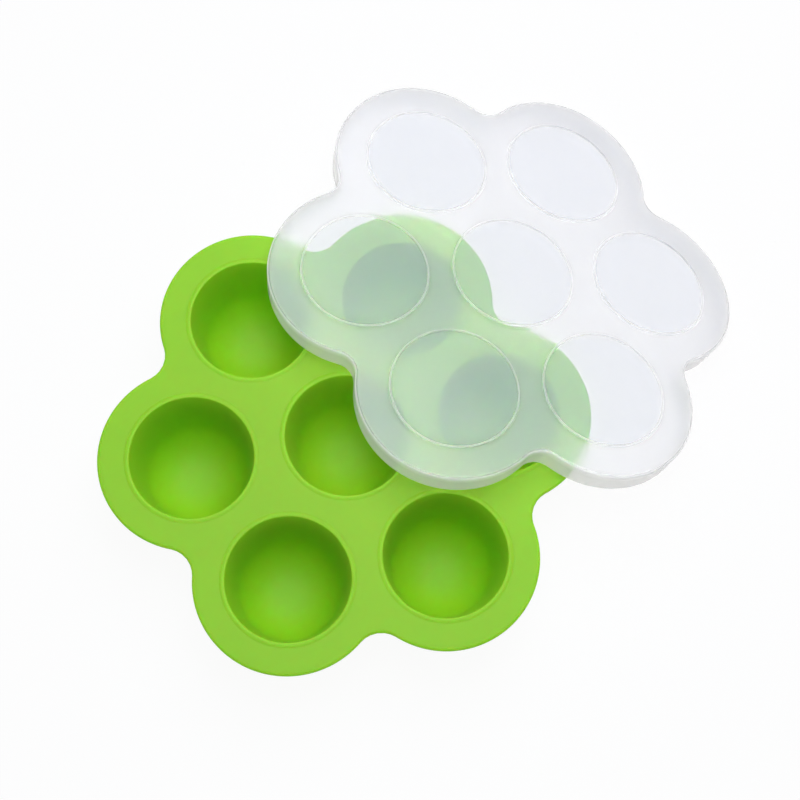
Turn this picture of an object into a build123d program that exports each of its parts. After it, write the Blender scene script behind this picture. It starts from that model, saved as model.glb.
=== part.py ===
from build123d import *
import math
import os

# Baby food freezer tray: a one-piece silicone tray of seven round cups, and its
# loose silicone lid, which lies half on the tray and half on the table and bends
# a little under its own weight.
#
# Origin: centre of the middle cup's flat base.  +Z up, the first outer cup on +X.

# ---------------------------------------------------------------- tray sizes, mm
outer_cups = 6              # cups around the middle one
outer_cup_distance = 64.0   # from the middle cup's centre to each outer cup's
tray_height = 45.0          # from the cups' bases to the top of the plate
mouth_radius = 25.5         # inside of a cup at the top of the plate
floor_radius = 19.0         # inside of a cup at its floor, before the round
floor_round = 18.0          # inside radius between wall and floor
cup_wall = 2.0              # wall and floor of a cup
plate_thickness = 2.8       # plate that joins the cups
lobe_radius = 38.45         # plate edge around each outer cup
notch_radius = 11.0         # hollow of the plate edge between two lobes
plate_edge_round = 1.2      # rounding of the plate's outer edge
root_round = 2.0            # fillet where a cup meets the underside of the plate
lip_width = 2.1             # raised lip around each mouth
lip_height = 0.4

# ----------------------------------------------------------------- lid sizes, mm
lid_clearance = 0.6         # between the tray's edge and the inside of the skirt
lid_wall = 1.5              # thickness of the skirt
lid_thickness = 1.8         # thickness of the lid's top
skirt_depth = 11.0          # from the lid's top face to the skirt's lower edge
lid_edge_round = 1.2        # rounding of the lid's upper outer edge
bead_width = 1.2            # ring moulded on the lid's top over each cup's lip
bead_height = 0.7
bead_round = 0.3            # rounding of the ring's upper edges
groove_depth = 0.7          # groove under each ring, which takes the cup's lip
groove_clearance = 0.3      # between a lip and each side of its groove

# ---------------------------------------------------------------- how the lid lies
lid_overlap = 106.3         # how far the lid's reach passes the tray's, in plan
lean_direction = 36.7       # degrees from +X, the way the lid leans down
lid_turn = -5.0             # degrees, the lid's lobes from the tray's
bend_direction = 12.0       # degrees from +X, the way the lid curves
bend_radius = 520.0         # radius of the lid's top face as it droops
rest_clearance = 0.3        # left between the lid and what it lies on
steepest_lean = 60.0        # degrees, the most that the lid could lean
outline_steps = 240         # points along an outline, to find where the lid rests
circle_steps = 24           # points around a cup ring, for the same
settling_rounds = 24        # halvings of the lean while the lid settles
layer_tolerance = 0.01      # within which an edge counts as lying on a layer

half_step = math.pi / outer_cups
plate_underside = tray_height - plate_thickness
lip_centre_radius = mouth_radius + lip_width / 2


def polar(radius, angle):
    return radius * math.cos(angle), radius * math.sin(angle)


def cup_spots(first_angle=0.0):
    """Centres of the cups in plan: the middle one, then the outer ones in turn."""
    turns = [first_angle + 2 * half_step * k for k in range(outer_cups)]
    return [(0.0, 0.0)] + [polar(outer_cup_distance, turn) for turn in turns]


def between(start, end, share):
    return tuple(a + (b - a) * share for a, b in zip(start, end))


def flower_edge(lobe, notch, first_angle=0.0):
    """Arcs of the flower outline: a lobe about each outer cup, a notch between."""
    notch_centre_radius = outer_cup_distance * math.cos(half_step) + math.sqrt(
        (lobe + notch) ** 2 - (outer_cup_distance * math.sin(half_step)) ** 2
    )
    tangent_share = lobe / (lobe + notch)
    for k in range(outer_cups):
        middle = first_angle + 2 * half_step * k
        lobe_centre = polar(outer_cup_distance, middle)
        next_centre = polar(outer_cup_distance, middle + 2 * half_step)
        notch_before = polar(notch_centre_radius, middle - half_step)
        notch_after = polar(notch_centre_radius, middle + half_step)
        start = between(lobe_centre, notch_before, tangent_share)
        end = between(lobe_centre, notch_after, tangent_share)
        next_start = between(next_centre, notch_after, tangent_share)
        ThreePointArc(start, polar(outer_cup_distance + lobe, middle), end)
        ThreePointArc(end, polar(notch_centre_radius - notch, middle + half_step), next_start)


# ---------------------------------------------------------------------- outlines
# Each is drawn flat about its own middle cup: the tray's plate, the lid's outside
# and the inside of its skirt, which clears the tray's edge all the way round.
lid_lobe_radius = lobe_radius + lid_clearance + lid_wall
lid_notch_radius = notch_radius - lid_clearance - lid_wall
skirt_lobe_radius = lobe_radius + lid_clearance
skirt_notch_radius = notch_radius - lid_clearance
lobes_from_bend = math.radians(lid_turn - bend_direction)
lid_cup_spots = cup_spots(lobes_from_bend)

with BuildSketch() as tray_outline:
    with BuildLine():
        flower_edge(lobe_radius, notch_radius)
    make_face()

with BuildSketch() as lid_outline:
    with BuildLine():
        flower_edge(lid_lobe_radius, lid_notch_radius, lobes_from_bend)
    make_face()

with BuildSketch() as skirt_outline:
    with BuildLine():
        flower_edge(skirt_lobe_radius, skirt_notch_radius, lobes_from_bend)
    make_face()

# -------------------------------------------------------------------- cup shapes
# Half sections of one cup, turned about its axis: the solid cup, the lip round its
# mouth, and the space inside it, which is cut out last.
with BuildPart() as cup_body:
    with BuildSketch(Plane.XZ) as body_section:
        with BuildLine():
            Polyline(
                (0, 0),
                (floor_radius + cup_wall, 0),
                (mouth_radius + cup_wall, tray_height),
                (0, tray_height),
                close=True,
            )
        make_face()
        body_foot = body_section.vertices().group_by(Axis.Y)[0].sort_by(Axis.X)[-1]
        fillet(body_foot, floor_round + cup_wall)
    revolve(axis=Axis.Z)

with BuildPart() as cup_lip:
    with BuildSketch(Plane.XZ):
        with BuildLine():
            lip_inner = (mouth_radius, tray_height)
            lip_outer = (mouth_radius + lip_width, tray_height)
            ThreePointArc(lip_inner, (lip_centre_radius, tray_height + lip_height), lip_outer)
            Line(lip_outer, lip_inner)
        make_face()
    revolve(axis=Axis.Z)

with BuildPart() as cup_space:
    with BuildSketch(Plane.XZ) as space_section:
        with BuildLine():
            Polyline(
                (0, cup_wall),
                (floor_radius, cup_wall),
                (mouth_radius, tray_height),
                (mouth_radius, tray_height + lip_height),
                (0, tray_height + lip_height),
                close=True,
            )
        make_face()
        space_foot = space_section.vertices().group_by(Axis.Y)[0].sort_by(Axis.X)[-1]
        fillet(space_foot, floor_round)
    revolve(axis=Axis.Z)

# -------------------------------------------------------------------------- tray
# One moulding: a flower-shaped plate with its edge rounded over, and seven cups
# hung from it on a common base plane.
with BuildPart() as tray:
    with BuildSketch(Plane.XY.offset(plate_underside)):
        add(tray_outline.sketch)
    extrude(amount=plate_thickness)
    fillet(tray.edges().filter_by(GeomType.CIRCLE), plate_edge_round)
    with Locations(*cup_spots()):
        add(cup_body.part)
    underside_edges = tray.edges().filter_by_position(Axis.Z, plate_underside, plate_underside)
    fillet(underside_edges.filter_by(lambda edge: edge.is_closed), root_round)
    with Locations(*cup_spots()):
        add(cup_lip.part)
        add(cup_space.part, mode=Mode.SUBTRACT)
tray.part.label = "tray"

# ------------------------------------------------------------------ where the lid is
# The lid is drawn flat in its own plane, touching its top face at the middle, and
# each layer of it then follows a wide arc about an axis far below.
tray_plan = tray_outline.sketch.face()
tray_reach = outer_cup_distance + lobe_radius
lid_reach = outer_cup_distance + lid_lobe_radius
lid_offset = tray_reach + lid_reach - lid_overlap   # tray's axis to lid's centre, in plan
past_lid = lid_reach + skirt_depth                  # half size of a block that holds the lid


def lid_frame(lean, height):
    """The lid's own plane at a lean in degrees, with +X the way the lid curves."""
    lean_axis = Axis((0, 0, 0), (*polar(1, math.radians(lean_direction + 90)), 0))
    return Plane(
        origin=(*polar(lid_offset, math.radians(lean_direction)), height),
        x_dir=Vector(*polar(1, math.radians(bend_direction)), 0).rotate(lean_axis, lean),
        z_dir=Vector(0, 0, 1).rotate(lean_axis, lean),
    )


def layer_height(along, depth):
    """Height in the lid's plane of the bent layer at a depth below the top face."""
    return math.sqrt((bend_radius - depth) ** 2 - along ** 2) - bend_radius


def points_on_outline(outline, depth):
    """Points of the lid along an outline at a depth, in the lid's plane."""
    edge = outline.sketch.face().outer_wire()
    spots = [edge.position_at(step / outline_steps) for step in range(outline_steps)]
    return [Vector(spot.X, spot.Y, layer_height(spot.X, depth)) for spot in spots]


def points_around_cups(radius, depth):
    """Points of the lid on circles about its cup rings, in the lid's plane."""
    points = []
    for cup_x, cup_y in lid_cup_spots:
        for step in range(circle_steps):
            dx, dy = polar(radius, 2 * math.pi * step / circle_steps)
            along, across = cup_x + dx, cup_y + dy
            points.append(Vector(along, across, layer_height(along, depth)))
    return points


def over_tray(point):
    near = math.hypot(point.X, point.Y) < tray_reach
    return near and tray_plan.is_inside(Vector(point.X, point.Y, 0))


def tray_top(point):
    """Height of the tray under a point, as if a flat cover lay on each cup's lip."""
    from_cup = min(math.hypot(point.X - x, point.Y - y) for x, y in cup_spots())
    near_lip = from_cup < mouth_radius + 2 * lip_width
    return tray_height + lip_height if near_lip else tray_height


def height_on_tray(lean, points):
    """Height of the lid's plane at which a lid with this lean rests on the tray."""
    placed = [lid_frame(lean, 0).from_local_coords(point) for point in points]
    resting = [tray_top(point) - point.Z for point in placed if over_tray(point)]
    return rest_clearance + max(resting, default=0)


def settled_lean(points):
    """The lean at which the lid rests on the tray and on the table at once."""
    too_flat, too_steep = 0.0, steepest_lean
    for _ in range(settling_rounds):
        lean = (too_flat + too_steep) / 2
        frame = lid_frame(lean, height_on_tray(lean, points))
        if min(frame.from_local_coords(point).Z for point in points) > rest_clearance:
            too_flat = lean
        else:
            too_steep = lean
    return too_flat


resting_points = points_on_outline(lid_outline, skirt_depth)
resting_points += points_on_outline(skirt_outline, skirt_depth)
for radius in (mouth_radius, lip_centre_radius + lip_width, outer_cup_distance / 2):
    resting_points += points_around_cups(radius, lid_thickness)
lid_lean = settled_lean(resting_points)
lid_plane = lid_frame(lid_lean, height_on_tray(lid_lean, resting_points))
bend_plane = Plane(origin=lid_plane.origin, x_dir=lid_plane.x_dir, z_dir=-lid_plane.y_dir)


def bent_layer(outline, top, bottom):
    """What an outline cuts out of the bent lid between two depths below its top."""
    with BuildPart() as layer:
        with BuildSketch(lid_plane):
            add(outline.sketch)
        extrude(amount=past_lid, both=True)
        with BuildSketch(bend_plane):
            with BuildLine():
                top_left = (-past_lid, layer_height(past_lid, top))
                top_right = (past_lid, layer_height(past_lid, top))
                bottom_left = (-past_lid, layer_height(past_lid, bottom))
                bottom_right = (past_lid, layer_height(past_lid, bottom))
                ThreePointArc(top_left, (0, -top), top_right)
                Line(top_right, bottom_right)
                ThreePointArc(bottom_right, (0, -bottom), bottom_left)
                Line(bottom_left, top_left)
            make_face()
        extrude(amount=past_lid, both=True, mode=Mode.INTERSECT)
    return layer


def ring_outline(width):
    """Plan of seven rings of a width, one over the lip of each cup."""
    with BuildSketch() as rings:
        with Locations(*lid_cup_spots):
            Circle(lip_centre_radius + width / 2)
            Circle(lip_centre_radius - width / 2, mode=Mode.SUBTRACT)
    return rings


def edges_on_layer(part, depth):
    """Edges of a part that lie on the bent layer at a depth below the lid's top."""

    def lies_there(edge):
        middle = lid_plane.to_local_coords(edge.position_at(0.5))
        return abs(middle.Z - layer_height(middle.X, depth)) < layer_tolerance

    return part.edges().filter_by(lies_there)


# --------------------------------------------------------------------------- lid
# One moulding: a thin top, a skirt that goes outside the tray's edge, a ring over
# each cup and a groove under the ring for the cup's lip.
lid_blank = bent_layer(lid_outline, 0, skirt_depth)
skirt_space = bent_layer(skirt_outline, lid_thickness, skirt_depth + lid_wall)
beads = bent_layer(ring_outline(bead_width), -bead_height, lid_thickness - groove_depth)
grooves = bent_layer(
    ring_outline(lip_width + 2 * groove_clearance), lid_thickness - groove_depth, lid_thickness
)

with BuildPart() as rounded_beads:
    add(beads.part)
    fillet(edges_on_layer(rounded_beads, -bead_height), bead_round)

with BuildPart() as lid:
    add(lid_blank.part)
    fillet(edges_on_layer(lid, 0), lid_edge_round)
    add(skirt_space.part, mode=Mode.SUBTRACT)
    add(rounded_beads.part)
    add(grooves.part, mode=Mode.SUBTRACT)
lid.part.label = "lid"

# ------------------------------------------------------------------------ export
os.makedirs("parts", exist_ok=True)
export_step(tray.part, "parts/tray.step")
export_step(lid.part, "parts/lid.step")
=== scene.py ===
import bpy
import math
import numpy as np
from mathutils import Matrix, Vector


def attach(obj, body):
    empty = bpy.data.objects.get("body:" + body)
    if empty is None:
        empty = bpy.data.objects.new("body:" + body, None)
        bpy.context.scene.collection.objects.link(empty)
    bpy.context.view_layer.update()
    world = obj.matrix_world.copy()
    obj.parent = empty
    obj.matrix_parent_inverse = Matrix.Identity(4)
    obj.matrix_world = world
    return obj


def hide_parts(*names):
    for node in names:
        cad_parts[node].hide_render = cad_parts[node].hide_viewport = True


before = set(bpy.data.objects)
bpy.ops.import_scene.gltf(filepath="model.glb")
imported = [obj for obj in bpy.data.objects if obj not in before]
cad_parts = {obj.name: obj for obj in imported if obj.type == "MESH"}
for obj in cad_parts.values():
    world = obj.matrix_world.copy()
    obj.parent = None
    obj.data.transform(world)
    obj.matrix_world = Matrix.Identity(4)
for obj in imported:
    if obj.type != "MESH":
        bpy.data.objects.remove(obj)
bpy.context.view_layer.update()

# ---------------------------------------------------------------------- tray
# The tray: a flower-shaped plate with seven round cups hung from it, moulded in one
# shot of lime green silicone between two steel halves.  A raised lip runs round each
# mouth, and every edge is rounded so that the food comes out when a cup is pushed.
mm = 0.001
outer_cups = 6
outer_cup_distance = 64 * mm       # middle cup's centre to an outer cup's
tray_height = 45 * mm
mouth_radius = 25.5 * mm
mouth_round = 0.35 * mm            # between the lip and the cup's wall
cup_wall = 2 * mm
floor_radius = 19 * mm
floor_round = 18 * mm              # between the wall and the floor, inside
plate_thickness = 2.8 * mm
plate_edge_round = 1.2 * mm
lobe_radius = 38.45 * mm           # plate's edge around each outer cup
notch_radius = 11 * mm             # hollow of the edge between two lobes
root_round = 2 * mm                # under the plate, where a cup hangs from it
lip_width = 2.1 * mm
lip_height = 0.4 * mm
lip_at_mouth = 0.55 * lip_height   # height where the lip meets the mouth
lip_corner_at = 0.45 * lip_width   # from the mouth; the crest's round takes it off
lip_corner_height = 1.12 * lip_height
lip_crest_round = 1.6 * mm
lip_foot_round = 0.18 * mm

half_step = math.pi / outer_cups   # from a lobe's middle to a notch's
edge_columns = 52                  # mesh columns along a lobe's outer edge
side_columns = 16                  # along the line halfway to the next outer cup
inner_columns = 14                 # along the line halfway to the middle cup
plate_rows = 7                     # mesh rows from a lip or ring to the cell's edge
flat_strip = 0.5 * mm              # level strip that ends the round part of a section
touching = 0.01 * mm               # within which two places count as one
cup_arc_steps = 8                  # mesh steps round each corner of a section
edge_arc_steps = 5
top_step = 4.5 * mm                # longest mesh step along an upper face
bottom_step = 5 * mm


def edge_from_cup(lobe, notch):
    """A petal's boundary seen from its cup: an angle and a distance per column."""
    halfway = outer_cup_distance / 2
    reach = lobe + notch
    notch_centre = outer_cup_distance * math.cos(half_step) + math.sqrt(
        reach ** 2 - (outer_cup_distance * math.sin(half_step)) ** 2
    )
    across, along = math.sin(half_step), math.cos(half_step)
    tangent = math.atan2(notch_centre * across, notch_centre * along - outer_cup_distance)
    deepest = notch_centre - notch
    corner = math.atan2(deepest * across, deepest * along - outer_cup_distance)
    edge = np.linspace(-corner, corner, edge_columns + 1)
    beyond = np.maximum(np.abs(edge) - tangent, 0)
    edge_reach = reach * np.cos(beyond) - np.sqrt(notch ** 2 - (reach * np.sin(beyond)) ** 2)
    angles, reaches = [edge], [edge_reach]
    full_turn = 2 * math.pi
    for start, end, columns, facing in (
        (corner, math.pi - half_step, side_columns, math.pi / 2 + half_step),
        (math.pi - half_step, math.pi + half_step, inner_columns, math.pi),
        (math.pi + half_step, full_turn - corner, side_columns, 1.5 * math.pi - half_step),
    ):
        side = np.linspace(start, end, columns + 1)[1:]
        angles.append(side)
        reaches.append(halfway / np.cos(side - facing))
    return np.concatenate(angles)[:-1], np.concatenate(reaches)[:-1]


def hexagon_from_cup():
    """The middle cup's boundary: the lines halfway to each outer cup."""
    angles = np.arange(outer_cups * inner_columns) * 2 * half_step / inner_columns - half_step
    from_middle = (angles + half_step) % (2 * half_step) - half_step
    return angles, outer_cup_distance / 2 / np.cos(from_middle)


def cup_cell(top, bottom, lobe, notch, rim=()):
    """Points and faces around one cup, out to where its neighbours' begin.

    top and bottom are (radius, height) from the cup's axis outwards.  rim is
    (distance outside the petal's edge, height) from the top round to the bottom.
    """
    points, faces, last_rows = [], [], []
    centre = np.array([outer_cup_distance if rim else 0.0, 0.0])

    def add_row(angles, reaches, height):
        start = len(points)
        places = centre + np.stack([np.cos(angles), np.sin(angles)], 1) * np.c_[reaches]
        points.extend((*place, height) for place in places)
        return np.arange(start, len(points))

    def join(inner, outer, upwards, closed=True):
        for j in range(len(inner) if closed else len(inner) - 1):
            after = (j + 1) % len(inner)
            face = (inner[j], outer[j], outer[after], inner[after])
            faces.append(face if upwards else face[::-1])

    for section, end, upwards in ((top, 0, True), (bottom, -1, False)):
        if rim:
            angles, reaches = edge_from_cup(lobe + rim[end][0], notch - rim[end][0])
        else:
            angles, reaches = hexagon_from_cup()
        pole = len(points)
        points.append((*centre, section[0][1]))
        row = add_row(angles, np.full(len(angles), section[1][0]), section[1][1])
        for j in range(len(row)):
            face = (pole, row[j], row[(j + 1) % len(row)])
            faces.append(face if upwards else face[::-1])
        for radius, height in section[2:]:
            outer = add_row(angles, np.full(len(angles), radius), height)
            join(row, outer, upwards)
            row = outer
        radius, height = section[-1]
        for share in np.linspace(0, 1, plate_rows + 1)[1:]:
            outer = add_row(angles, radius + (reaches - radius) * share, height)
            join(row, outer, upwards)
            row = outer
        last_rows.append(row)

    if rim:
        on_edge = slice(edge_columns + 1)
        row = last_rows[0][on_edge]
        for outside, height in rim[1:-1]:
            angles, reaches = edge_from_cup(lobe + outside, notch - outside)
            outer = add_row(angles[on_edge], reaches[on_edge], height)
            join(row, outer, True, closed=False)
            row = outer
        join(row, last_rows[1][on_edge], True, closed=False)
    return points, faces


def rounded(corners, steps):
    """A section's corners (across, up, radius) as points, each corner an arc."""
    section = []
    for index, (across, up, radius) in enumerate(corners):
        corner = np.array([across, up])
        if not radius:
            section.append(tuple(corner))
            continue
        before = np.array(corners[index - 1][:2]) - corner
        after = np.array(corners[index + 1][:2]) - corner
        before, after = before / np.linalg.norm(before), after / np.linalg.norm(after)
        half = math.acos(np.clip(before @ after, -1, 1)) / 2
        middle = (before + after) / np.linalg.norm(before + after)
        centre = corner + middle * radius / math.sin(half)
        first = corner + before * radius / math.tan(half) - centre
        last = corner + after * radius / math.tan(half) - centre
        turn = math.atan2(first[0] * last[1] - first[1] * last[0], first @ last)
        for share in np.linspace(0, 1, steps + 1):
            c, s = math.cos(turn * share), math.sin(turn * share)
            spoke = (first[0] * c - first[1] * s, first[0] * s + first[1] * c)
            section.append((centre[0] + spoke[0], centre[1] + spoke[1]))
    return section


def spread(section, longest):
    """The same section with extra points, so that no step is over a length."""
    points = [section[0]]
    for end in section[1:]:
        start = np.array(points[-1])
        run = np.array(end) - start
        steps = math.ceil(np.linalg.norm(run) / longest)
        points += [tuple(start + run * k / steps) for k in range(1, steps + 1)]
    return points


def mark(mesh, name, kind, domain, values):
    """Keeps a value for each point or face under a name, for the nodes to read."""
    mesh.attributes.new(name, kind, domain).data.foreach_set("value", values)


def flower_mesh(name, top, bottom, lobe, notch, rim):
    """One outer cell and the middle cell, marked for the nodes that repeat them."""
    outer_points, outer_faces = cup_cell(top, bottom, lobe, notch, rim)
    middle_points, middle_faces = cup_cell(top, bottom, lobe, notch)
    shift = len(outer_points)
    mesh = bpy.data.meshes.new(name)
    mesh.from_pydata(
        [tuple(map(float, p)) for p in outer_points + middle_points],
        [],
        [tuple(map(int, f)) for f in outer_faces]
        + [tuple(int(i) + shift for i in f) for f in middle_faces],
    )
    in_middle = [index >= len(outer_faces) for index in range(len(mesh.polygons))]
    mark(mesh, "middle_cup", "BOOLEAN", "FACE", in_middle)
    return mesh


plate_underside = tray_height - plate_thickness
lip_foot = mouth_radius + lip_width
tray_top = spread(
    rounded(
        [
            (0, cup_wall, 0),
            (floor_radius, cup_wall, floor_round),
            (mouth_radius, tray_height + lip_at_mouth, mouth_round),
            (mouth_radius + lip_corner_at, tray_height + lip_corner_height, lip_crest_round),
            (lip_foot, tray_height, lip_foot_round),
            (lip_foot + flat_strip, tray_height, 0),
        ],
        cup_arc_steps,
    ),
    top_step,
)
outside_foot = floor_radius + cup_wall
outside_top = mouth_radius + cup_wall
tray_bottom = spread(
    rounded(
        [
            (0, 0, 0),
            (outside_foot, 0, floor_round + cup_wall),
            (outside_top, plate_underside, root_round),
            (outside_top + root_round, plate_underside, 0),
        ],
        cup_arc_steps,
    ),
    bottom_step,
)
tray_rim = rounded(
    [
        (-plate_edge_round, tray_height, 0),
        (0, tray_height, plate_edge_round),
        (0, plate_underside, plate_edge_round),
        (-plate_edge_round, plate_underside, 0),
    ],
    edge_arc_steps,
)[1:-1]


def node(tree, kind, settings=(), links=()):
    """Adds a node, sets its properties, and sets or links its inputs.

    A colour Mix has its factor at input 0, its colours at 6 and 7, and its result
    at output 2.
    """
    made = tree.nodes.new(kind)
    for key, value in dict(settings).items():
        setattr(made, key, value)
    for key, value in dict(links).items():
        if isinstance(value, bpy.types.NodeSocket):
            tree.links.new(value, made.inputs[key])
        else:
            made.inputs[key].default_value = value
    return made


def node_group(name, inputs):
    """A Geometry Nodes tree with these named inputs: (name, socket type)."""
    tree = bpy.data.node_groups.new(name, "GeometryNodeTree")
    tree.interface.new_socket("Geometry", in_out="INPUT", socket_type="NodeSocketGeometry")
    for label, kind in inputs:
        tree.interface.new_socket(label, in_out="INPUT", socket_type=kind)
    tree.interface.new_socket("Geometry", in_out="OUTPUT", socket_type="NodeSocketGeometry")
    return tree, node(tree, "NodeGroupInput").outputs


def ring_of_cups(tree, given):
    """Repeats the outer cell around the middle one and joins them into one skin."""
    middle = node(
        tree, "GeometryNodeInputNamedAttribute", {"data_type": "BOOLEAN"}, {0: "middle_cup"}
    )
    parts = node(
        tree, "GeometryNodeSeparateGeometry", {"domain": "FACE"},
        {0: given["Geometry"], 1: middle.outputs[0]},
    )
    spots = node(tree, "GeometryNodePoints", (), {"Count": given["Outer Cups"]})
    index = node(tree, "GeometryNodeInputIndex")
    step = node(
        tree, "ShaderNodeMath", {"operation": "DIVIDE"}, {0: 2 * math.pi, 1: given["Outer Cups"]}
    )
    turn = node(
        tree, "ShaderNodeMath", {"operation": "MULTIPLY"},
        {0: index.outputs[0], 1: step.outputs[0]},
    )
    turns = node(tree, "ShaderNodeCombineXYZ", (), {"Z": turn.outputs[0]})
    petals = node(
        tree, "GeometryNodeInstanceOnPoints", (),
        {"Points": spots.outputs[0], "Instance": parts.outputs[1], "Rotation": turns.outputs[0]},
    )
    petals = node(tree, "GeometryNodeRealizeInstances", (), {0: petals.outputs[0]})
    flower = node(tree, "GeometryNodeJoinGeometry")
    tree.links.new(parts.outputs[0], flower.inputs[0])
    tree.links.new(petals.outputs[0], flower.inputs[0])
    merged = node(
        tree, "GeometryNodeMergeByDistance", (),
        {"Geometry": flower.outputs[0], "Distance": touching},
    )
    return merged.outputs[0]


def finish_tree(tree, given, shape):
    """Ends a tree as a plain, smooth mesh with its material."""
    real = node(tree, "GeometryNodeRealizeInstances", (), {0: shape})
    smooth = node(tree, "GeometryNodeSetShadeSmooth", (), {0: real.outputs[0]})
    painted = node(
        tree, "GeometryNodeSetMaterial", (), {0: smooth.outputs[0], "Material": given["Material"]}
    )
    node(tree, "NodeGroupOutput", (), {0: painted.outputs[0]})


def grown(name, mesh, tree, values):
    """The plain mesh that a tree makes of a mesh, with its inputs set by name."""
    source = bpy.data.objects.new(name + "_source", mesh)
    bpy.context.collection.objects.link(source)
    modifier = source.modifiers.new("shape", "NODES")
    modifier.node_group = tree
    for item in tree.interface.items_tree:
        if item.in_out == "INPUT" and item.name in values:
            modifier[item.identifier] = values[item.name]
    evaluated = source.evaluated_get(bpy.context.evaluated_depsgraph_get())
    result = bpy.data.meshes.new_from_object(evaluated)
    result.name = name
    piece = bpy.data.objects.new(name, result)
    bpy.context.collection.objects.link(piece)
    bpy.data.objects.remove(source)
    return piece


def linear(code):
    """An sRGB hex colour as linear RGBA."""
    values = [int(code[i : i + 2], 16) / 255 for i in (0, 2, 4)]
    return (*((v / 12.92 if v <= 0.04045 else ((v + 0.055) / 1.055) ** 2.4) for v in values), 1)


# Lime green silicone rubber, pigmented right through and moulded against blasted
# steel: a satin skin with a fine grain, and a little light passes into thin edges.
# The grain is drawn about ten times as coarse as the blasting, so that it shows.
silicone_ior = 1.41
cloud_size = 30 * mm
grain_size = 0.5 * mm
grain_depth = 0.02 * mm
grain_low, grain_high = 0.3, 0.7   # most of the noise lies between these
smoothest, roughest = 0.6, 0.7     # roughness of the skin
green_silicone = bpy.data.materials.new("green_silicone")
green_silicone.use_nodes = True
tree = green_silicone.node_tree
tree.nodes.clear()
where = node(tree, "ShaderNodeTexCoord").outputs["Object"]
clouds = node(
    tree, "ShaderNodeTexNoise", (), {"Vector": where, "Scale": 1 / cloud_size, "Detail": 3.0}
)
shade = node(
    tree, "ShaderNodeMix", {"data_type": "RGBA"},
    {0: clouds.outputs[0], 6: linear("8FC60E"), 7: linear("95CB14")},
)
grain = node(
    tree, "ShaderNodeTexNoise", (), {"Vector": where, "Scale": 1 / grain_size, "Detail": 2.0}
)
satin = node(
    tree, "ShaderNodeMapRange", (),
    {
        0: grain.outputs[0],
        "From Min": grain_low,
        "From Max": grain_high,
        "To Min": smoothest,
        "To Max": roughest,
    },
)
bump = node(
    tree, "ShaderNodeBump", (),
    {"Height": grain.outputs[0], "Strength": 0.12, "Distance": grain_depth},
)
skin = node(
    tree, "ShaderNodeBsdfPrincipled", (),
    {
        "Base Color": shade.outputs[2],
        "Roughness": satin.outputs[0],
        "Normal": bump.outputs[0],
        "IOR": silicone_ior,
        "Specular IOR Level": 0.6,
        "Subsurface Weight": 0.8,
        "Subsurface Radius": (0.5, 2.0, 0.1),  # green light goes in farthest
        "Subsurface Scale": 3 * mm,
    },
)
node(tree, "ShaderNodeOutputMaterial", (), {"Surface": skin.outputs[0]})

flower_tree, given = node_group(
    "tray_flower", [("Outer Cups", "NodeSocketInt"), ("Material", "NodeSocketMaterial")]
)
finish_tree(flower_tree, given, ring_of_cups(flower_tree, given))
tray = grown(
    "green_tray",
    flower_mesh("tray_cells", tray_top, tray_bottom, lobe_radius, notch_radius, tray_rim),
    flower_tree,
    {"Outer Cups": outer_cups, "Material": green_silicone},
)
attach(tray, "tray")
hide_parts("tray")

# ----------------------------------------------------------------------- lid
# The lid: a thin flower of clear silicone, moulded in one shot, with a skirt that goes
# outside the tray's edge, and over each cup's lip a ring on top and a groove below.
# It lies half on the tray and half on the table, and droops a little.
lid_clearance = 0.6 * mm
lid_wall = 1.5 * mm
lid_thickness = 1.8 * mm
skirt_depth = 11 * mm
lid_edge_round = 1.2 * mm
skirt_root_round = lid_edge_round / 2
skirt_edge_round = 0.5 * mm
ring_radius = mouth_radius + lip_width / 2
ring_width = 1.2 * mm
ring_height = 0.7 * mm
ring_round = 0.35 * mm
ring_slope = 0.15 * mm             # how far each side of a ring leans in
ring_foot_round = 0.15 * mm
groove_depth = 0.7 * mm
groove_width = lip_width + 0.6 * mm
groove_round = 0.2 * mm
lid_offset = 100.7 * mm            # the tray's axis to the lid's centre, in plan
lid_centre_height = 46.57 * mm
lean_direction = math.radians(36.7)
lid_lean = math.radians(16.56)
lid_turn = math.radians(-5)        # the lid's lobes from the tray's
bend_direction = math.radians(12)
bend_radius = 520 * mm
ring_arc_steps = 3
groove_arc_steps = 2
skirt_step = 2.5 * mm

lid_lobe = lobe_radius + lid_clearance + lid_wall
lid_notch = notch_radius - lid_clearance - lid_wall
ring_inside, ring_outside = ring_radius - ring_width / 2, ring_radius + ring_width / 2
lid_top = spread(
    rounded(
        [
            (0, 0, 0),
            (ring_inside, 0, ring_foot_round),
            (ring_inside + ring_slope, ring_height, ring_round),
            (ring_outside - ring_slope, ring_height, ring_round),
            (ring_outside, 0, ring_foot_round),
            (ring_outside + flat_strip, 0, 0),
        ],
        ring_arc_steps,
    ),
    top_step,
)
groove_inside, groove_outside = ring_radius - groove_width / 2, ring_radius + groove_width / 2
lid_bottom = spread(
    rounded(
        [
            (0, -lid_thickness, 0),
            (groove_inside, -lid_thickness, groove_round),
            (groove_inside, groove_depth - lid_thickness, groove_round),
            (groove_outside, groove_depth - lid_thickness, groove_round),
            (groove_outside, -lid_thickness, groove_round),
            (groove_outside + flat_strip, -lid_thickness, 0),
        ],
        groove_arc_steps,
    ),
    bottom_step,
)
lid_rim = spread(
    rounded(
        [
            (-lid_edge_round, 0, 0),
            (0, 0, lid_edge_round),
            (0, -skirt_depth, skirt_edge_round),
            (-lid_wall, -skirt_depth, skirt_edge_round),
            (-lid_wall, -lid_thickness, skirt_root_round),
            (-lid_wall - lid_edge_round, -lid_thickness, 0),
        ],
        edge_arc_steps,
    ),
    skirt_step,
)[1:]

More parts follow.
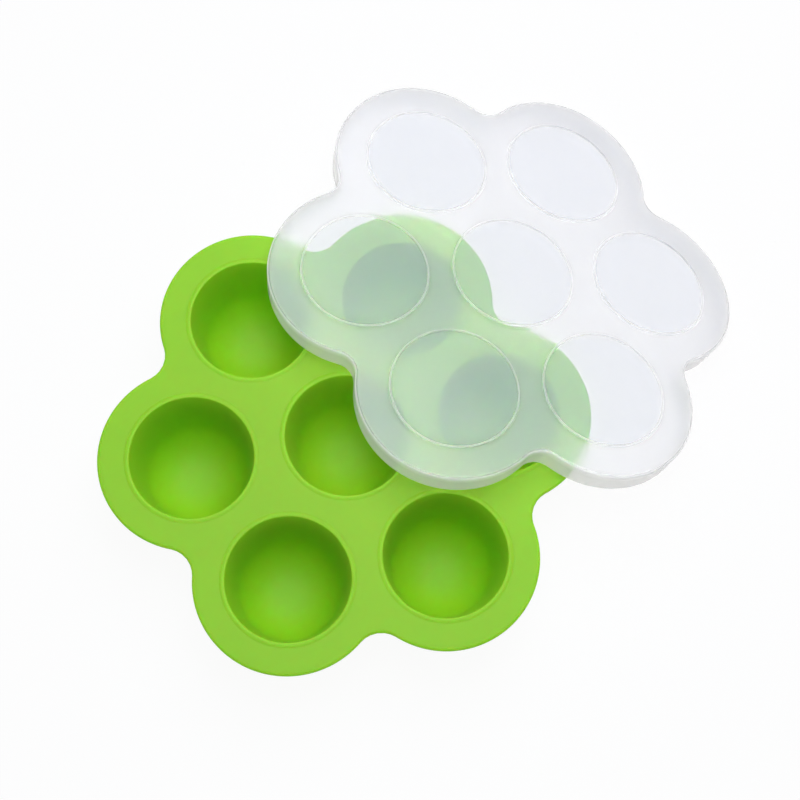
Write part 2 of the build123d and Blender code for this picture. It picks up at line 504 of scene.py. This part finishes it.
# Clear silicone rubber, platinum cured, without pigment.  Light goes through it, and
# a milky veil lies over what is behind.  The discs inside the rings come from polished
# steel and show things sharp; the rest of the top comes from blasted steel and blurs
# them.  The veil is denser and whiter in the rings and in the skirt, where the eye looks
# through more of the rubber.  Along the rounded upper edge it is denser still, and that
# extra veil is a painted highlight.
disc_openness, top_openness = 0.71, 0.78   # share seen through each face
veil_of_depth = 0.27                       # taken from it where the rubber is thick
polished_roughness, blasted_roughness = 0.14, 0.32
blur = 0.5                                 # roughness seen through a blasted face
glow_share = 0.1                           # of the veil that is lit from behind
lamp_share = 0.2                           # of lamplight that goes straight through
clear_silicone = bpy.data.materials.new("clear_silicone")
clear_silicone.use_nodes = True
tree = clear_silicone.node_tree
tree.nodes.clear()
window = node(tree, "ShaderNodeAttribute", {"attribute_name": "window"}).outputs["Fac"]
frost = node(tree, "ShaderNodeAttribute", {"attribute_name": "frost"}).outputs["Fac"]
depth_and_highlight = node(tree, "ShaderNodeAttribute", {"attribute_name": "depth_and_highlight"}).outputs["Fac"]
side = node(tree, "ShaderNodeAttribute", {"attribute_name": "side"}).outputs["Fac"]
# Whiter where the rubber is thicker; the extra along the rounded upper edge is a painted
# highlight.
pale = node(
    tree, "ShaderNodeMix", {"data_type": "RGBA"},
    {0: depth_and_highlight, 6: linear("E0E8FC"), 7: linear("F8FAFF")},
)
polish = node(
    tree, "ShaderNodeMapRange", (),
    {0: frost, "To Min": polished_roughness, "To Max": blasted_roughness},
)
milk = node(
    tree, "ShaderNodeBsdfPrincipled", (),
    {
        "Base Color": pale.outputs[2],
        "Roughness": polish.outputs[0],
        "IOR": silicone_ior,
        "Subsurface Weight": 1.0,
        "Subsurface Radius": (1.0, 1.0, 1.0),
        "Subsurface Scale": 4 * mm,
    },
)
glow = node(tree, "ShaderNodeBsdfTranslucent", (), {"Color": linear("FFFFFF")})
body = node(
    tree, "ShaderNodeMixShader", (), {0: glow_share, 1: milk.outputs[0], 2: glow.outputs[0]}
)
clear = node(tree, "ShaderNodeBsdfTransparent", (), {"Color": linear("FFFDFB")})
frosted = node(
    tree, "ShaderNodeBsdfGlass", {"distribution": "MULTI_GGX"},
    {"Color": linear("FFFDFB"), "Roughness": blur, "IOR": silicone_ior},
)
blasted = node(
    tree, "ShaderNodeMath", {"operation": "SUBTRACT", "use_clamp": True}, {0: frost, 1: side}
)
view = node(
    tree, "ShaderNodeMixShader", (),
    {0: blasted.outputs[0], 1: clear.outputs[0], 2: frosted.outputs[0]},
)
thin = node(
    tree, "ShaderNodeMapRange", (), {0: window, "To Min": top_openness, "To Max": disc_openness}
)
thick = node(tree, "ShaderNodeMath", {"operation": "MULTIPLY"}, {0: depth_and_highlight, 1: veil_of_depth})
openness = node(
    tree, "ShaderNodeMath", {"operation": "SUBTRACT"}, {0: thin.outputs[0], 1: thick.outputs[0]}
)
silicone = node(
    tree, "ShaderNodeMixShader", (),
    {0: openness.outputs[0], 1: body.outputs[0], 2: view.outputs[0]},
)
rays = node(tree, "ShaderNodeLightPath").outputs
lamplight = node(
    tree, "ShaderNodeMath", {"operation": "MULTIPLY"}, {0: rays["Is Shadow Ray"], 1: lamp_share}
)
surface = node(
    tree, "ShaderNodeMixShader", (),
    {0: lamplight.outputs[0], 1: silicone.outputs[0], 2: clear.outputs[0]},
)
node(tree, "ShaderNodeOutputMaterial", (), {"Surface": surface.outputs[0]})

# The tree that makes the flower whole, turns its lobes to the bend, wraps it round
# the bend's cylinder and lays it where it rests.
lid_tree, given = node_group(
    "drooping_lid",
    [
        ("Outer Cups", "NodeSocketInt"),
        ("First Angle", "NodeSocketFloat"),
        ("Bend Radius", "NodeSocketFloat"),
        ("Turn", "NodeSocketVector"),
        ("Place", "NodeSocketVector"),
        ("Material", "NodeSocketMaterial"),
    ],
)
flower = ring_of_cups(lid_tree, given)
first_turn = node(lid_tree, "ShaderNodeCombineXYZ", (), {"Z": given["First Angle"]})
flower = node(
    lid_tree, "GeometryNodeTransform", (), {0: flower, "Rotation": first_turn.outputs[0]}
)
position = node(lid_tree, "GeometryNodeInputPosition").outputs[0]
at = node(lid_tree, "ShaderNodeSeparateXYZ", (), {0: position}).outputs
layer = node(
    lid_tree, "ShaderNodeMath", {"operation": "ADD"}, {0: given["Bend Radius"], 1: at[2]}
)
sine = node(
    lid_tree, "ShaderNodeMath", {"operation": "DIVIDE"}, {0: at[0], 1: given["Bend Radius"]}
)
bend = node(lid_tree, "ShaderNodeMath", {"operation": "ARCSINE"}, {0: sine.outputs[0]})
cosine = node(lid_tree, "ShaderNodeMath", {"operation": "COSINE"}, {0: bend.outputs[0]})
along = node(
    lid_tree, "ShaderNodeMath", {"operation": "MULTIPLY"},
    {0: layer.outputs[0], 1: sine.outputs[0]},
)
drop = node(
    lid_tree, "ShaderNodeMath", {"operation": "MULTIPLY"},
    {0: layer.outputs[0], 1: cosine.outputs[0]},
)
up = node(
    lid_tree, "ShaderNodeMath", {"operation": "SUBTRACT"},
    {0: drop.outputs[0], 1: given["Bend Radius"]},
)
bent = node(
    lid_tree, "ShaderNodeCombineXYZ", (), {"X": along.outputs[0], "Y": at[1], "Z": up.outputs[0]}
)
drooped = node(
    lid_tree, "GeometryNodeSetPosition", (), {0: flower.outputs[0], "Position": bent.outputs[0]}
)
placed = node(
    lid_tree, "GeometryNodeTransform", (),
    {0: drooped.outputs[0], "Rotation": given["Turn"], "Translation": given["Place"]},
)
finish_tree(lid_tree, given, placed.outputs[0])

# What the silicone reads at each place: window is a polished disc, frost a blasted
# face, depth how much rubber lies behind, raised further along the rounded upper edge
# as a painted highlight, and side a wall of a ring or a groove, which comes out half
# polished.
# The rounded upper edge gets more veil than the skirt, as a painted highlight along the bend.
ring_veil, skirt_veil, edge_veil_and_highlight = 0.9, 1.0, 1.5   # each times veil_of_depth
ring_crest = 0.6 * ring_height     # above this a point is on top of its ring
edge_crest = 0.1 * mm              # this far below the top the rounded edge begins
edge_from_groove = 1 * mm          # closer to a groove nothing counts as the edge
wall_from_groove = 0.3 * mm        # farther from a groove nothing counts as its wall
wall_slope = 0.9                   # a wall's normal is less upright than this
side_polish = 0.5
lid_mesh = flower_mesh("lid_cells", lid_top, lid_bottom, lid_lobe, lid_notch, lid_rim)


def from_axis(place):
    """Distance in plan from the axis of the nearer of the two cups."""
    return min(math.hypot(place.x - outer_cup_distance, place.y), math.hypot(place.x, place.y))


def is_blasted(place):
    """Whether a point is on the top or the underside, outside the discs."""
    on_top = place.z > -touching
    on_underside = abs(place.z + lid_thickness) < touching
    return from_axis(place) > ring_inside + touching and (on_top or on_underside)


def rubber_behind(place):
    """How much more rubber than the top's own thickness the eye meets at a point,
    raised along the rounded upper edge to paint a highlight there.
    """
    on_ring = place.z > ring_crest
    on_skirt = place.z < -lid_thickness - touching
    outside = from_axis(place) > groove_outside + edge_from_groove
    on_edge = outside and touching - lid_thickness < place.z < -edge_crest
    return ring_veil * on_ring + skirt_veil * on_skirt + edge_veil_and_highlight * on_edge


def is_wall(face):
    """Whether a face is on a side of a ring or of a groove."""
    near_ring = from_axis(face.center) < groove_outside + wall_from_groove
    return near_ring and abs(face.normal.z) < wall_slope


places = [vertex.co for vertex in lid_mesh.vertices]
in_disc = [float(from_axis(place) < ring_inside + touching) for place in places]
mark(lid_mesh, "window", "FLOAT", "POINT", in_disc)
mark(lid_mesh, "frost", "FLOAT", "POINT", [float(is_blasted(place)) for place in places])
mark(lid_mesh, "depth_and_highlight", "FLOAT", "POINT", [rubber_behind(place) for place in places])
mark(lid_mesh, "side", "FLOAT", "FACE", [side_polish * is_wall(f) for f in lid_mesh.polygons])

lean_axis = Vector((-math.sin(lean_direction), math.cos(lean_direction), 0))
lid_turned = Matrix.Rotation(lid_lean, 3, lean_axis) @ Matrix.Rotation(bend_direction, 3, "Z")
lid = grown(
    "clear_lid",
    lid_mesh,
    lid_tree,
    {
        "Outer Cups": outer_cups,
        "First Angle": lid_turn - bend_direction,
        "Bend Radius": bend_radius,
        "Turn": lid_turned.to_euler(),
        "Place": (
            lid_offset * math.cos(lean_direction),
            lid_offset * math.sin(lean_direction),
            lid_centre_height,
        ),
        "Material": clear_silicone,
    },
)
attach(lid, "lid")
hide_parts("lid")

# --------------------------------------------------------------------- stage
# A plain white table under a white sky that is brightest near the horizon, with a soft
# key lamp above the lid's far side and a broad fill high over both pieces.  The table
# and the sky show as white, and the table keeps the soft shadows.
table_size = 6.0
table_lift = 0.94                  # share of the table that shows as plain white
table = bpy.data.objects.new("table", bpy.data.meshes.new("table"))
table.data.from_pydata(
    [(x * table_size / 2, y * table_size / 2, 0) for x, y in ((-1, -1), (1, -1), (1, 1), (-1, 1))],
    [],
    [(0, 1, 2, 3)],
)
bpy.context.collection.objects.link(table)


def seen_directly(tree):
    """1 for the camera, for mirror images and through glass, otherwise 0."""
    rays = node(tree, "ShaderNodeLightPath").outputs
    either = node(
        tree, "ShaderNodeMath", {"operation": "MAXIMUM"},
        {0: rays["Is Camera Ray"], 1: rays["Is Glossy Ray"]},
    )
    return node(
        tree, "ShaderNodeMath", {"operation": "MAXIMUM"},
        {0: either.outputs[0], 1: rays["Is Transmission Ray"]},
    ).outputs[0]


white_table = bpy.data.materials.new("white_table")
white_table.use_nodes = True
tree = white_table.node_tree
tree.nodes.clear()
paint = node(tree, "ShaderNodeBsdfDiffuse", (), {"Color": linear("F2F2F2")})
white = node(tree, "ShaderNodeEmission", (), {"Strength": 1.0})
lifted = node(
    tree, "ShaderNodeMath", {"operation": "MULTIPLY"}, {0: seen_directly(tree), 1: table_lift}
)
mixed = node(
    tree, "ShaderNodeMixShader", (),
    {0: lifted.outputs[0], 1: paint.outputs[0], 2: white.outputs[0]},
)
node(tree, "ShaderNodeOutputMaterial", (), {"Surface": mixed.outputs[0]})
table.data.materials.append(white_table)

horizon_strength, overhead_strength = 1.6, 0.08
band_top = 0.42                    # sine of the elevation where the bright band ends
sky = bpy.data.worlds.new("white_sky")
sky.use_nodes = True
tree = sky.node_tree
tree.nodes.clear()
towards = node(tree, "ShaderNodeTexCoord").outputs["Generated"]
height = node(tree, "ShaderNodeSeparateXYZ", (), {0: towards}).outputs[2]
daylight = node(
    tree, "ShaderNodeMapRange", (),
    {0: height, "From Max": band_top, "To Min": horizon_strength, "To Max": overhead_strength},
)
strength = node(
    tree, "ShaderNodeMapRange", (),
    {0: seen_directly(tree), "To Min": daylight.outputs[0], "To Max": 1.0},
)
shine = node(
    tree, "ShaderNodeBackground", (), {"Color": linear("FFFFFF"), "Strength": strength.outputs[0]}
)
node(tree, "ShaderNodeOutputWorld", (), {"Surface": shine.outputs[0]})
bpy.context.scene.world = sky

lamp_tint = (0.97, 1.0, 1.1)       # a little cooler than white
lamps_aim = (40 * mm, 30 * mm, 30 * mm)
key_place, key_width, key_watts = (0.11, 0.19, 0.57), 0.45, 2.0
fill_place, fill_width, fill_watts = (0.05, -0.05, 1.1), 0.5, 4.2


def softbox(name, place, width, watts):
    """A round lamp that faces the middle of both pieces."""
    lamp = bpy.data.lights.new(name, "AREA")
    lamp.shape, lamp.size, lamp.energy, lamp.color = "DISK", width, watts, lamp_tint
    lamp_object = bpy.data.objects.new(name, lamp)
    lamp_object.location = place
    facing = (Vector(lamps_aim) - Vector(place)).to_track_quat("-Z", "Y")
    lamp_object.rotation_euler = facing.to_euler()
    bpy.context.collection.objects.link(lamp_object)


softbox("key", key_place, key_width, key_watts)
softbox("fill", fill_place, fill_width, fill_watts)

# -------------------------------------------------------------------- camera
# Held above and in front of the tray, and looking down at it from the near left.
camera_place = Vector((-27.05, -158.46, 648.63)) * mm
camera_aim = Vector((24.05, 11.61, 45)) * mm
camera_roll = math.radians(7.965)
camera = bpy.data.cameras.new("camera")
camera.lens, camera.sensor_width = 68.26, 36
camera_object = bpy.data.objects.new("camera", camera)
camera_object.location = camera_place
facing = (camera_aim - camera_place).to_track_quat("-Z", "Y").to_matrix()
camera_object.rotation_euler = (facing @ Matrix.Rotation(camera_roll, 3, "Z")).to_euler()
bpy.context.collection.objects.link(camera_object)
bpy.context.scene.camera = camera_object
bpy.context.scene.view_settings.view_transform = "Standard"
